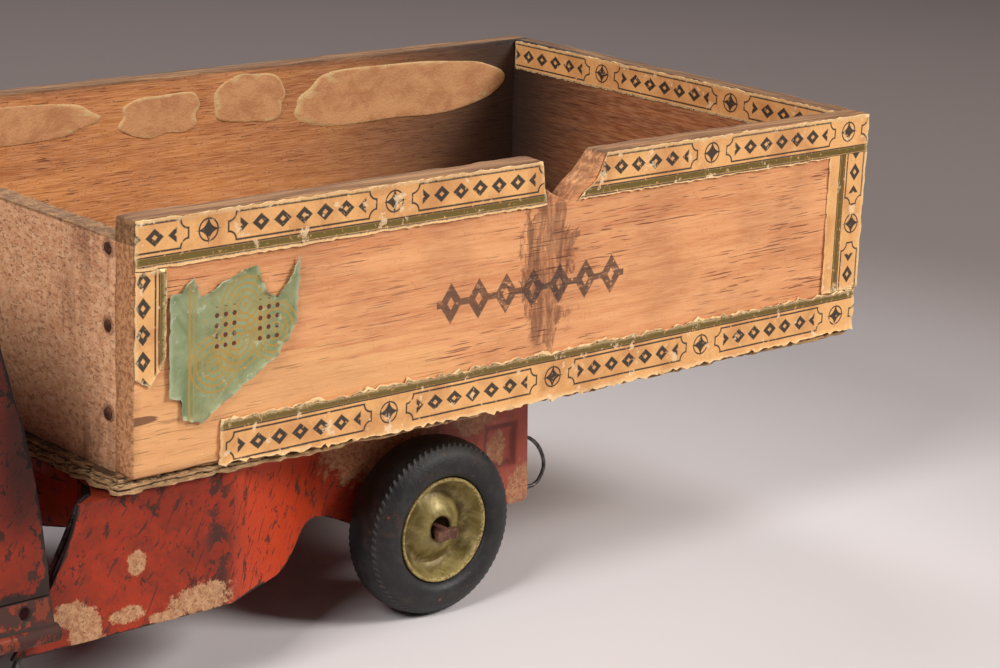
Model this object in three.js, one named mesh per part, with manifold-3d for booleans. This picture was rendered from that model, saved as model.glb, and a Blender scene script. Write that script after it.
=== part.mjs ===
// Pressed-steel toy dump truck whose load bed is a wooden cigar box.
// Millimetres. +X points to the cab, +Y to the truck's left side, +Z up; the wheels stand on Z = 0.
import * as THREE from 'three';
import { mergeVertices } from 'three/addons/utils/BufferGeometryUtils.js';
import Module from 'manifold-3d';

const wasm = await Module();
wasm.setup();

// ---- driving dimensions -------------------------------------------------------------------
const truckLength = 395.6;
const sheet = 0.9;
const gap = 0.3;
const nailHead = 0.6;

const bed = { length: 230, halfWidth: 69.45, bottom: 56.5, height: 56.6, frontHeight: 51.6 };
bed.side = 6.5;
bed.end = 5.5;
bed.rear = -truckLength / 2 + nailHead;
bed.front = bed.rear + bed.length;
bed.top = bed.bottom + bed.height;
const board = { thickness: 3.2, lip: 3.5, top: bed.bottom, bottom: bed.bottom - 3.2 };
const paper = 0.3;

const deckTop = 52.8;
const frame = { halfWidth: 67.3, railHalfWidth: 44.4, skirtBottom: 21.5, railBottom: 17.6 };
frame.front = bed.front + 2;
frame.bend = bed.front - 28;
frame.taperEnd = bed.front - 72;
frame.rear = bed.front - 137.5;

// each tyre stands on one of its flats
const wheel = { radius: 22.2, bore: 12, sides: 28, centreY: 53.45, hole: 2.6 };
wheel.height = wheel.radius * Math.cos(Math.PI / wheel.sides);
const axle = { radius: 1.6, drop: 0.8, rearX: bed.front - 97.1, frontX: bed.front + 112, headY: 59.4 };
const axleZ = wheel.height - axle.drop;

const hinge = { x: bed.front - 141.5, z: 49.5, rod: 1.2, knuckle: 2.2, bracketY: 34, strapY: 29.5 };
const towLoop = { y: 41.6, drops: [19, 33], wire: 0.55, hole: 0.9 };
const shaft = { x: bed.front - 6, z: 46.8, radius: 1.5, end: 58 };
const tipRange = THREE.MathUtils.degToRad(30);

const cab = { halfWidth: 69.9, bottom: 35.6, belt: 86, top: 121, wall: 1.2, front: bed.front + 86 };
const hood = { rear: cab.front + gap, front: bed.front + 150, halfWidth: 38, bottom: 44, top: 85 };
const lamp = { x: bed.front + 132, y: 47, z: 69 };
const bumper = { front: truckLength / 2, thickness: 1.6, bottom: 24, top: 33, halfWidth: 66 };

// ---- materials ----------------------------------------------------------------------------
const paint = (color, roughness = 0.45, metalness = 0.2) => ({ color, roughness, metalness });
const finish = {
  redPaint: paint(0xa52a1a),
  darkSteel: paint(0x3a3632, 0.5, 0.8),
  greySteel: paint(0x6d6a66, 0.4, 0.9),
  rubber: paint(0x1d1c1b, 0.85, 0),
  creamHub: paint(0xb8a56a, 0.35, 0.6),
  cedar: paint(0xc07a45, 0.7, 0),
  paleWood: paint(0xc9905c, 0.75, 0),
  tornBoard: paint(0x9a7448, 0.9, 0),
  tanPaper: paint(0xd9a05f, 0.8, 0),
  greenPaper: paint(0x8fa583, 0.8, 0),
  rustyNail: paint(0x4a2f22, 0.8, 0.5),
};

// ---- solids -------------------------------------------------------------------------------
const turned = new THREE.Matrix4().makeBasis(
  new THREE.Vector3(0, 1, 0), new THREE.Vector3(0, 0, 1), new THREE.Vector3(1, 0, 0));

function shapeOf(points) {
  return new THREE.Shape(points.map(([a, b]) => new THREE.Vector2(a, b)));
}

function circle(x, y, radius, sides = 16) {
  return Array.from({ length: sides }, (_, i) => {
    const angle = (2 * Math.PI * i) / sides;
    return new THREE.Vector2(x + radius * Math.cos(angle), y + radius * Math.sin(angle));
  });
}

function smooth(points, steps = 16) {
  const curve = new THREE.SplineCurve(points.map(([a, b]) => new THREE.Vector2(a, b)));
  return curve.getPoints(steps).map((p) => [p.x, p.y]);
}

function extruded(shape, depth, options = {}) {
  return new THREE.ExtrudeGeometry(shape, { depth, bevelEnabled: false, curveSegments: 10, ...options });
}

// a plate whose outline is drawn in side view (X, Z), between two values of Y
function sidePlate(shape, yLow, yHigh) {
  return extruded(shape, yHigh - yLow).rotateX(Math.PI / 2).translate(0, yHigh, 0);
}

// a plate whose outline is drawn in plan (X, Y)
function flatPlate(shape, zLow, zHigh) {
  return extruded(shape, zHigh - zLow).translate(0, 0, zLow);
}

// a plate whose outline is drawn from the front (Y, Z)
function crossPlate(shape, xLow, xHigh) {
  return extruded(shape, xHigh - xLow).applyMatrix4(turned).translate(xLow, 0, 0);
}

function block(xLow, xHigh, yLow, yHigh, zLow, zHigh) {
  return new THREE.BoxGeometry(xHigh - xLow, yHigh - yLow, zHigh - zLow)
    .translate((xLow + xHigh) / 2, (yLow + yHigh) / 2, (zLow + zHigh) / 2);
}

function bar(radius, yLow, yHigh, x, z, sides = 20) {
  return new THREE.CylinderGeometry(radius, radius, yHigh - yLow, sides).translate(x, (yLow + yHigh) / 2, z);
}

function bentRod(points, radius, steps, sides = 10) {
  const path = new THREE.CatmullRomCurve3(points.map((p) => new THREE.Vector3(...p)), false, 'centripetal');
  const section = new THREE.Shape(circle(0, 0, radius, sides));
  return new THREE.ExtrudeGeometry(section, { steps, extrudePath: path, bevelEnabled: false });
}

function revolved(profile, segments, start = 0) {
  const closed = [...profile, profile[0]].map(([r, a]) => new THREE.Vector2(r, a));
  return new THREE.LatheGeometry(closed, segments, start);
}

function solid(geometry) {
  const bare = geometry.clone();
  bare.deleteAttribute('normal');
  bare.deleteAttribute('uv');
  const merged = mergeVertices(bare, 1e-4);
  return new wasm.Manifold(new wasm.Mesh({
    numProp: 3,
    vertProperties: Float32Array.from(merged.attributes.position.array),
    triVerts: Uint32Array.from(merged.index.array),
  }));
}

function geometryOf(body) {
  const mesh = body.getMesh();
  const geometry = new THREE.BufferGeometry();
  geometry.setAttribute('position', new THREE.BufferAttribute(new Float32Array(mesh.vertProperties), 3));
  geometry.setIndex(new THREE.BufferAttribute(new Uint32Array(mesh.triVerts), 1));
  geometry.computeVertexNormals();
  return geometry;
}

const join = (...pieces) => geometryOf(pieces.map(solid).reduce((all, one) => all.add(one)));
const common = (a, b) => geometryOf(solid(a).intersect(solid(b)));

function cut(base, ...tools) {
  return geometryOf(tools.map(solid).reduce((left, tool) => left.subtract(tool), solid(base)));
}

// the same piece on the truck's other side, with its faces turned back outwards
function mirrored(geometry) {
  const copy = geometry.clone().scale(1, -1, 1);
  const flat = copy.index ? copy.toNonIndexed() : copy;
  const p = flat.attributes.position;
  for (let i = 0; i < p.count; i += 3) {
    const second = [p.getX(i + 1), p.getY(i + 1), p.getZ(i + 1)];
    p.setXYZ(i + 1, p.getX(i + 2), p.getY(i + 2), p.getZ(i + 2));
    p.setXYZ(i + 2, ...second);
  }
  return flat;
}

const truck = new THREE.Group();

function add(name, geometry, look) {
  const mesh = new THREE.Mesh(geometry, new THREE.MeshStandardMaterial(look));
  mesh.name = name;
  truck.add(mesh);
}

function addPair(name, leftGeometry, look) {
  add(`${name}_left`, leftGeometry, look);
  add(`${name}_right`, mirrored(leftGeometry), look);
}

// ---- frame: one pressing, wide skirts in front, a taper, narrow rails behind ---------------
const skirtFrontEdge = smooth([
  [bed.front + 12, deckTop], [bed.front + 13.4, 47], [bed.front + 18.6, 36.2],
  [bed.front + 25.5, 26], [bed.front + 28.6, frame.skirtBottom]], 10);

function framePressing() {
  const lap = 0.4; // neighbouring panels run into each other by this much
  const skirtRear = frame.bend - lap;
  const skirtOutline = shapeOf([...skirtFrontEdge, [skirtRear, frame.skirtBottom], [skirtRear, deckTop]]);
  const skirt = sidePlate(skirtOutline, frame.halfWidth - sheet, frame.halfWidth);

  // taper panel: drawn flat along its own length, then swung inwards about the bend line
  const run = frame.bend - frame.taperEnd;
  const inward = frame.halfWidth - frame.railHalfWidth;
  const taperLength = Math.hypot(run, inward);
  const lowerEdge = smooth([[0, 21.5], [10, 21.2], [24, 20.6], [31, 23.5], [36, 27.2], [41, 28.4],
    [taperLength, 26.4]], 16);
  const taper = sidePlate(shapeOf([[0, deckTop], ...lowerEdge, [taperLength, deckTop]]), -sheet, 0)
    .scale(-1, -1, 1)
    .rotateZ(Math.atan2(inward, run))
    .translate(frame.bend, frame.halfWidth - sheet, 0);

  const railLower = smooth([[frame.taperEnd, 26.4], [frame.taperEnd - 4, 24.8], [frame.taperEnd - 11, 21.4],
    [frame.taperEnd - 18, 18.9], [frame.taperEnd - 25, frame.railBottom]], 10);
  const railStart = frame.taperEnd + lap;
  const railCorner = 2;
  const railOutline = shapeOf([[railStart, deckTop], [railStart, 26.5], ...railLower,
    [frame.rear + railCorner, frame.railBottom]]);
  railOutline.quadraticCurveTo(frame.rear, frame.railBottom, frame.rear, frame.railBottom + railCorner);
  railOutline.lineTo(frame.rear + 1.5, deckTop);
  railOutline.holes.push(new THREE.Path(circle(axle.rearX, axleZ, axle.radius + 0.25)));
  const rail = sidePlate(railOutline, frame.railHalfWidth - sheet, frame.railHalfWidth);

  // half of the deck in plan, with the long slot that the lifting arm swings through
  const slotHalf = 4;
  const middle = sheet / 2;
  const deck = flatPlate(shapeOf([
    [frame.front, -1], [frame.front, 51.5], [frame.front + 0.6, 57], [frame.front + 4, 63],
    [bed.front + 11.5, frame.halfWidth - middle], [frame.bend, frame.halfWidth - middle],
    [frame.taperEnd, frame.railHalfWidth - middle], [frame.rear + 2, frame.railHalfWidth - middle],
    [frame.rear + 2, -1]]), deckTop - sheet, deckTop);
  const frontOutline = shapeOf([[-1, deckTop], [51.5, deckTop], [51.5, 41], [34, 36.4], [-1, 36]]);
  const frontFlange = crossPlate(frontOutline, frame.front - sheet, frame.front);
  const rearHalfWidth = frame.railHalfWidth - middle;
  const rearOutline = shapeOf([[-1, deckTop], [rearHalfWidth, deckTop], [rearHalfWidth, 24], [-1, 24]]);
  const rearFlange = crossPlate(rearOutline, frame.rear + 1.7, frame.rear + 1.7 + sheet);
  const half = join(deck, skirt, taper, rail, frontFlange, rearFlange);
  const slot = block(frame.taperEnd - 32, frame.front - 8, -slotHalf, slotHalf, deckTop - 4, deckTop + 4);
  const wireHoles = towLoop.drops.map((drop) =>
    new THREE.CylinderGeometry(towLoop.hole, towLoop.hole, 8, 10).rotateZ(Math.PI / 2)
      .translate(frame.rear + 2, towLoop.y, deckTop - drop));
  return cut(join(half, mirrored(half)), slot, ...wireHoles);
}

add('frame_pressing', framePressing(), finish.redPaint);

// ---- axles and wheels -----------------------------------------------------------------------
// an axle is a round wire whose two ends are hammered flat, wider than the hole in the hub
function axleWire(x) {
  const head = (side) => block(x - 3.1, x + 3.1, 0, 1.3, axleZ - 1.3, axleZ + 1.3)
    .translate(0, side > 0 ? axle.headY : -axle.headY - 1.3, 0);
  return join(bar(axle.radius, -axle.headY - 0.2, axle.headY + 0.2, x, axleZ), head(1), head(-1));
}

const tyreProfile = [[wheel.bore, -4.6], [13.5, -4.8], [14.8, -5.8], [18.4, -6], [21.1, -4.7], [22.2, -2.4],
  [22.2, 2.4], [21.1, 4.7], [18.4, 6], [14.8, 5.8], [13.5, 4.8], [wheel.bore, 4.6]];
const discProfile = [[wheel.hole, 3.9], [8.4, 2.2], [11, 3.7], [11, gap], [11.7, gap], [11.7, 4.7],
  [13.1, 5.1], [11.9, 5.9], [8.4, 3.1], [wheel.hole, 4.8]];

function addWheel(place, x, side) {
  const y = side * wheel.centreY;
  const outwards = side > 0 ? 0 : Math.PI;
  const at = (geometry, turn) => geometry.rotateX(turn).translate(x, y, wheel.height);
  const tyre = revolved(tyreProfile, wheel.sides, Math.PI / wheel.sides);
  add(`tyre_${place}`, at(tyre, 0), finish.rubber);
  add(`wheel_disc_${place}`, at(revolved(discProfile, 24), outwards), finish.creamHub);
  add(`wheel_back_${place}`, at(revolved(discProfile, 24), outwards + Math.PI), finish.creamHub);
}

for (const [end, x] of [['rear', axle.rearX], ['front', axle.frontX]]) {
  add(`${end}_axle`, axleWire(x), finish.darkSteel);
  addWheel(`${end}_left`, x, 1);
  addWheel(`${end}_right`, x, -1);
}

// ---- tow loop of thin wire, hooked through the frame's rear flange --------------------------
const loopBends = [[4.5, 19], [-1.5, 19.4], [-6, 23], [-8, 28.5], [-5.5, 32.6], [-1, 33], [4.5, 33]]
  .map(([ahead, drop]) => [frame.rear + ahead, towLoop.y, deckTop - drop]);
add('tow_loop', bentRod(loopBends, towLoop.wire, 18, 6), finish.greySteel);

// ---- bed hinge ------------------------------------------------------------------------------
function hingeBracket() {
  const plate = shapeOf([[frame.rear + 1.3, deckTop - 1.2], [frame.rear + 1.3, deckTop - 10],
    [frame.rear - 1, deckTop - 10], [hinge.x - 2, hinge.z - 1.4], [hinge.x - 2, hinge.z + 1.6],
    [hinge.x + 2, hinge.z + 2.2], [frame.rear - 0.5, deckTop - 1.2]]);
  plate.holes.push(new THREE.Path(circle(hinge.x, hinge.z, hinge.rod + 0.2)));
  return sidePlate(plate, hinge.bracketY, hinge.bracketY + 1.2);
}

function bedStrap() {
  const strapTop = board.bottom - 0.02;
  const leaf = block(hinge.x - 34, hinge.x, hinge.strapY - 4, hinge.strapY + 4, strapTop - 1, strapTop);
  const barrelZ = strapTop - hinge.knuckle;
  const barrel = bar(hinge.knuckle, hinge.strapY - 4, hinge.strapY + 4, hinge.x, barrelZ, 18);
  const bore = bar(hinge.rod + 0.25, hinge.strapY - 5, hinge.strapY + 5, hinge.x, hinge.z);
  return cut(join(leaf, barrel), bore);
}

addPair('hinge_bracket', hingeBracket(), finish.redPaint);
addPair('bed_strap', bedStrap(), finish.darkSteel);
const rodEnd = hinge.bracketY + 3;
add('hinge_rod', bar(hinge.rod, -rodEnd, rodEnd, hinge.x, hinge.z), finish.darkSteel);

// ---- dump lever: bent rod, cross shaft in two brackets, and a lifting arm -------------------
const leverWire = 0.8;

// The arm's upper edge stays on the underside of the bed while both turn by the same angle.
// For equal and opposite turns, the contact lies at the foot of the square dropped onto the
// board from the point halfway between the two axes.
function camEdge(angle) {
  const halfSpan = (shaft.x - hinge.x) / 2;
  const along = halfSpan * Math.cos(angle);
  const above = board.bottom - hinge.z - gap;
  const x = hinge.x + along * Math.cos(angle) - above * Math.sin(angle) - shaft.x;
  const z = hinge.z + along * Math.sin(angle) + above * Math.cos(angle) - shaft.z;
  return [
    x * Math.cos(angle) - z * Math.sin(angle) + shaft.x,
    x * Math.sin(angle) + z * Math.cos(angle) + shaft.z,
  ];
}

function liftArm() {
  const steps = 8;
  const edge = Array.from({ length: steps + 1 }, (_, i) => camEdge((tipRange * i) / steps));
  const [tipX, tipZ] = edge[steps];
  const [startX, startZ] = edge[0];
  const outline = shapeOf([[shaft.x + 3, shaft.z + 3], [startX + 20, startZ - 1.4], ...edge,
    [tipX - 1.5, tipZ - 3], [tipX + 2, tipZ - 5], [startX + 2, shaft.z - 6], [shaft.x + 3, shaft.z - 3.4]]);
  const arm = sidePlate(outline, -1.5, 1.5);
  return cut(arm, bar(shaft.radius + 0.05, -4, 4, shaft.x, shaft.z));
}

function shaftBracket() {
  const top = deckTop - sheet - 0.02;
  const low = shaft.z - 3.5;
  const plate = shapeOf([[shaft.x - 4, top], [shaft.x - 4, shaft.z - 1], [shaft.x - 1.5, low],
    [shaft.x + 1.5, low], [shaft.x + 4, shaft.z - 1], [shaft.x + 4, top]]);
  plate.holes.push(new THREE.Path(circle(shaft.x, shaft.z, shaft.radius + 0.25)));
  return sidePlate(plate, 45, 46.2);
}

addPair('shaft_bracket', shaftBracket(), finish.redPaint);
add('lever_shaft', bar(shaft.radius, -50, shaft.end, shaft.x, shaft.z), finish.darkSteel);
add('lift_arm', liftArm(), finish.darkSteel);
add('dump_lever', bentRod([[shaft.x, shaft.end + 1, shaft.z], [shaft.x + 4, shaft.end + 0.8, shaft.z + 2.2],
  [bed.front + 2.2, shaft.end + 0.8, shaft.z + 4], [bed.front + 6.2, shaft.end + 1, shaft.z + 2.9],
  [bed.front + 9.4, 60.4, 45.9], [bed.front + 12.8, 62.4, 42.6], [bed.front + 15.6, 63.8, 39.6],
  [bed.front + 18, 64.6, 35.8], [bed.front + 25, 64.8, 21.4], [bed.front + 27, 64.8, 17]],
leverWire, 32, 8), finish.greySteel);

// ---- load bed: a cigar box ------------------------------------------------------------------
const nailHeights = [49, 32.1, 12.7].map((h) => bed.bottom + h);
const nailY = bed.halfWidth - 9;

// the broken notch in the left board's upper edge, measured from the bed's upper front corner
const notch = [[-115, 0], [-115.8, -6.5], [-118.5, -8.2], [-123.2, -10.7], [-127.2, -7.3], [-130.3, -5.3],
  [-134.9, 0]].map(([x, z]) => [bed.front + x, bed.top + z]);

function sideBoard(upperEdge) {
  const outline = shapeOf([[bed.front, bed.bottom], [bed.front, bed.top], ...upperEdge,
    [bed.rear, bed.top], [bed.rear, bed.bottom]]);
  return sidePlate(outline, bed.halfWidth - bed.side, bed.halfWidth);
}

function endBoard(xLow, height, nailedFace) {
  const width = bed.halfWidth - bed.side;
  const panel = block(xLow, xLow + bed.end, -width, width, bed.bottom, bed.bottom + height);
  const holes = nailHeights.flatMap((z) => [-nailY, nailY].map((y) =>
    new THREE.CylinderGeometry(0.75, 0.75, 9, 8).rotateZ(Math.PI / 2).translate(nailedFace, y, z)));
  return cut(panel, ...holes);
}

// a nail pointing inwards from a face at x; its head stands just off the wood
function nail(x, y, z, outwards) {
  const profile = [[0, -4.2], [0.5, -3.6], [0.5, 0.05], [1.15, 0.05], [0, nailHead]];
  const points = profile.map(([r, a]) => new THREE.Vector2(r, a));
  return new THREE.LatheGeometry(points, 8).rotateZ(-outwards * Math.PI / 2).translate(x, y, z);
}

add('bed_side_left', sideBoard(notch), finish.cedar);
add('bed_side_right', mirrored(sideBoard([])), finish.cedar);
add('bed_end_front', endBoard(bed.front - bed.end, bed.frontHeight, bed.front), finish.paleWood);
add('bed_end_rear', endBoard(bed.rear, bed.height, bed.rear), finish.cedar);
add('bed_floor_board', block(bed.rear + 1.5, bed.front + board.lip, -bed.halfWidth + 0.5, bed.halfWidth - 0.5,
  board.bottom, board.top), finish.tornBoard);

for (const [end, x, outwards] of [['front', bed.front, 1], ['rear', bed.rear, -1]]) {
  for (const [side, y] of [['left', nailY], ['right', -nailY]]) {
    nailHeights.forEach((z, i) => {
      add(`nail_${end}_${side}_${i + 1}`, nail(x, y, z, outwards), finish.rustyNail);
    });
  }
}

// paper edging and label, pasted to the outside of the left board and inside the rear end
function pasted(name, look, points) {
  const outline = shapeOf(points.map(([x, z]) => [bed.front + x, bed.bottom + z]));
  add(name, sidePlate(outline, bed.halfWidth, bed.halfWidth + paper), look);
}

pasted('edging_top_front', finish.tanPaper,
  [[-0.4, 45.6], [-0.4, 56.4], [-114.4, 56.4], [-115.4, 49.6], [-116.2, 45.8]]);
pasted('edging_rear', finish.tanPaper,
  [[-132.6, 50.6], [-135.6, 56.4], [-229.8, 56.4], [-229.8, 9.7], [-216, 9.7], [-216, 46], [-126.4, 46]]);
pasted('edging_bottom', finish.tanPaper,
  [[-22.8, 9.4], [-22.4, -0.6], [-60, -1.8], [-120, -2.6], [-229, -1.6], [-229, 9.4]]);
pasted('edging_front_upright', finish.tanPaper,
  [[-0.4, 22], [-0.4, 45.3], [-8.2, 45.3], [-8.2, 26], [-4, 20]]);
pasted('torn_label', finish.greenPaper,
  [[-9, 39], [-9, 17], [-12.2, 15.6], [-12.6, 11.4], [-17.2, 9.9], [-22, 12.8], [-37.4, 21.8], [-42.8, 29],
    [-43.2, 43.6], [-40.4, 38.5], [-36.8, 35], [-33.4, 37.6], [-31.8, 43.2], [-22.6, 40.6], [-17.4, 37.8],
    [-15.2, 42.4], [-11.6, 39.8]]);
const rearInside = bed.rear + bed.end;
add('edging_inside_rear', block(rearInside, rearInside + paper, -62.5, 62.5, 104.6, 112.9), finish.tanPaper);

// ---- cab ------------------------------------------------------------------------------------
const cabRear = [[20.8, 35.9], [21.2, 41.6], [22.8, 53.4], [24.2, 61.7], [26.7, 73], [28.5, 78.4], [30.8, 87],
  [32.1, 93.9], [34.6, 102.5], [38, 111]].map(([x, z]) => [bed.front + x, z]);

// the solid that hollows a shell runs out through its open side
const openEnd = (inset) => (inset > 0 ? 2 : 0);

function cabSolid(inset) {
  const t = inset;
  const x0 = bed.front;
  const roof = cab.top - t;
  const floor = cab.bottom - openEnd(inset);
  const side = shapeOf(cabRear.map(([x, z]) => [x + t, z]));
  side.bezierCurveTo(x0 + 42 + t, roof, x0 + 48, roof, x0 + 56, roof);
  side.bezierCurveTo(x0 + 66, roof, x0 + 72 - t, roof - 4, x0 + 74 - t, cab.top - 10);
  side.lineTo(x0 + 80 - t, cab.belt);
  side.lineTo(cab.front - t, cab.belt - 6);
  side.lineTo(cab.front - t, floor);
  side.lineTo(x0 + 20.8 + t, floor);
  const w = cab.halfWidth - t;
  const face = new THREE.Shape();
  face.moveTo(-w, cab.bottom - 3);
  face.lineTo(w, cab.bottom - 3);
  face.lineTo(w, cab.belt);
  face.bezierCurveTo(w - 3, cab.top - 12, w - 9, roof - 4, w - 24, roof - 2);
  face.bezierCurveTo(w - 40, roof, -w + 40, roof, -w + 24, roof - 2);
  face.bezierCurveTo(-w + 9, roof - 4, -w + 3, cab.top - 12, -w, cab.belt);
  return common(sidePlate(side, -80, 80), crossPlate(face, bed.front + 10, cab.front + 10));
}

function cabShell() {
  const sideWindow = shapeOf([[41, 89], [40, 106], [45, 111], [63, 111], [67, 107], [73, 89]]
    .map(([x, z]) => [bed.front + x, z]));
  const windscreen = (y0, y1) => crossPlate(shapeOf([[y0, 89], [y1, 89], [y1 - 2, 108], [y0 + 2, 108]]),
    bed.front + 66, cab.front + 20);
  const rearWindow = crossPlate(shapeOf([[-22, 92], [22, 92], [22, 104], [-22, 104]]),
    bed.front + 10, bed.front + 60);
  const chassisOpening = block(bed.front + 10, cab.front + 5, -29, 29, 30, 48.4);
  return cut(cabSolid(0), cabSolid(cab.wall), sidePlate(sideWindow, -80, 80), windscreen(4, 50),
    windscreen(-50, -4), rearWindow, chassisOpening);
}

add('cab_shell', cabShell(), finish.redPaint);

// ---- hood, grille and lamps -----------------------------------------------------------------
function hoodSolid(inset) {
  const w = hood.halfWidth - inset;
  const top = hood.top - inset;
  const low = hood.bottom - openEnd(inset);
  const rear = hood.rear - openEnd(inset);
  const face = new THREE.Shape();
  face.moveTo(-w, low);
  face.lineTo(w, low);
  face.lineTo(w, 66);
  face.bezierCurveTo(w, top - 6, w - 14, top, 0, top);
  face.bezierCurveTo(-w + 14, top, -w, top - 6, -w, 66);
  const end = hood.front - inset;
  const side = shapeOf([[rear, low], [end, low], [end, 62]]);
  side.bezierCurveTo(end, 76, end - 8, top - 2, end - 22, top - 1);
  side.lineTo(rear, top + 1);
  const plan = shapeOf([[hood.rear - 3, -w], [end - 20, -w + 3], [end, -w + 14], [end, w - 14],
    [end - 20, w - 3], [hood.rear - 3, w]]);
  const straight = common(crossPlate(face, rear, end), sidePlate(side, -80, 80));
  return common(straight, flatPlate(plan, 0, 100));
}

add('hood_shell', cut(hoodSolid(0), hoodSolid(cab.wall)), finish.redPaint);

function grille() {
  const arch = (w, low, high) => {
    const shape = new THREE.Shape();
    shape.moveTo(-w, low);
    shape.lineTo(w, low);
    shape.lineTo(w, high - w * 0.7);
    shape.bezierCurveTo(w, high - 2, w * 0.5, high, 0, high);
    shape.bezierCurveTo(-w * 0.5, high, -w, high - 2, -w, high - w * 0.7);
    return shape;
  };
  const plate = crossPlate(arch(21, 45, 74), hood.front + gap, hood.front + gap + 2.6);
  const slots = [-15, -9, -3, 3, 9, 15].map((y) =>
    block(hood.front, hood.front + 6, y - 1.5, y + 1.5, 48, 69 - Math.abs(y) * 0.45));
  return cut(plate, ...slots);
}

add('grille', grille(), finish.greySteel);

// a bullet-shaped lamp on a short arm from the side of the hood
function headlamp() {
  const shell = [[0, -9], [3.4, -7.6], [5.6, -4], [6.4, 0], [6.4, 1.4], [0, 2.6]];
  const bullet = new THREE.LatheGeometry(shell.map(([r, a]) => new THREE.Vector2(r, a)), 20)
    .rotateZ(-Math.PI / 2).translate(lamp.x, lamp.y, lamp.z);
  return join(bullet, bar(1.8, hood.halfWidth - 2.4, lamp.y - 3, lamp.x - 3, lamp.z, 10));
}

// ---- running boards, fenders, front chassis and bumper ---------------------------------------
// running board: a sloping apron below the cab with a rolled lower edge and one tab hole
function runningBoard() {
  const rear = bed.front + 20;
  const front = bed.front + 86;
  const apronFace = shapeOf([[cab.halfWidth - 6, 35.3], [cab.halfWidth + 0.2, 35.3],
    [cab.halfWidth + 2.2, 28.4], [cab.halfWidth + 1.2, 28.2], [cab.halfWidth - 0.7, 34.4],
    [cab.halfWidth - 6, 34.4]]);
  const apron = crossPlate(apronFace, rear + 0.8, front);
  const roll = new THREE.CylinderGeometry(2, 2, front - rear, 14).rotateZ(Math.PI / 2)
    .translate((rear + front) / 2, cab.halfWidth + 1.4, 27.6);
  const hole = new THREE.CylinderGeometry(1.4, 1.4, 10, 14)
    .translate(bed.front + 27.4, cab.halfWidth + 1, 32.9);
  return cut(join(apron, roll), hole);
}

function fender() {
  const inner = 30;
  const outer = cab.halfWidth + 3.4;
  const arch = (inset) => {
    const t = inset;
    const x = axle.frontX;
    const low = 26 - 5 * openEnd(inset);
    const shape = new THREE.Shape();
    shape.moveTo(bed.front + 86.3 + t, low);
    shape.lineTo(bed.front + 86.3 + t, 34);
    shape.bezierCurveTo(x - 24 + t, 36, x - 22 + t, 59 - t, x, 59 - t);
    shape.bezierCurveTo(x + 22 - t, 59 - t, x + 33 - t, 48, x + 35 - t, low);
    return shape;
  };
  const roundOver = new THREE.Shape();
  roundOver.moveTo(inner, 10);
  roundOver.lineTo(outer, 10);
  roundOver.lineTo(outer, 44);
  roundOver.bezierCurveTo(outer, 55, outer - 6, 59.5, outer - 16, 59.5);
  roundOver.lineTo(inner, 59.5);
  const shell = common(sidePlate(arch(0), hood.halfWidth + gap, outer),
    crossPlate(roundOver, bed.front + 60, 200));
  const inside = new THREE.Shape();
  inside.moveTo(inner, 9);
  const wall = outer - cab.wall;
  inside.lineTo(wall, 9);
  inside.lineTo(wall, 44);
  inside.bezierCurveTo(wall, 54, outer - 7, 58.3, outer - 17, 58.3);
  inside.lineTo(inner, 58.3);
  const hollow = common(sidePlate(arch(cab.wall), hood.halfWidth - 2, outer),
    crossPlate(inside, bed.front + 50, 210));
  const wheelArch = bar(26.5, wheel.centreY - 9, outer + 4, axle.frontX, wheel.height, 40);
  return cut(shell, hollow, wheelArch);
}

addPair('running_board', runningBoard(), finish.redPaint);
addPair('front_fender', fender(), finish.redPaint);
addPair('headlamp', headlamp(), finish.greySteel);

function frontChassis() {
  const rear = frame.front + 0.1;
  const front = bumper.front - bumper.thickness - 0.1;
  const top = 43.6;
  const railShape = shapeOf([[rear, 48], [rear, 37], [rear + 20, 33], [axle.frontX - 14, 30],
    [axle.frontX - 8, 17], [axle.frontX + 8, 17], [axle.frontX + 14, 24], [front, 24], [front, 33],
    [hood.front - 4, 35], [hood.front - 8, top], [rear + 12, top]]);
  railShape.holes.push(new THREE.Path(circle(axle.frontX, axleZ, axle.radius + 0.25)));
  const rail = sidePlate(railShape, 27, 28.2);
  const pan = block(rear + 14, hood.front - 10, -28.2, 28.2, top - 1.2, top);
  const cross = block(front - 1.2, front, -28.2, 28.2, 24, 33);
  return join(rail, mirrored(rail), pan, cross);
}

add('front_chassis', frontChassis(), finish.redPaint);

// a flat bar with clipped corners
function bumperBar() {
  const { halfWidth: w, bottom, top } = bumper;
  const outline = shapeOf([[-w, bottom + 2], [-w + 3, bottom], [w - 3, bottom], [w, bottom + 2], [w, top - 2],
    [w - 3, top], [-w + 3, top], [-w, top - 2]]);
  return crossPlate(outline, bumper.front - bumper.thickness, bumper.front);
}

add('bumper', bumperBar(), finish.greySteel);

export default truck;
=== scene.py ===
import math

import bmesh
import bpy
from mathutils import Matrix, Vector, noise


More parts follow.
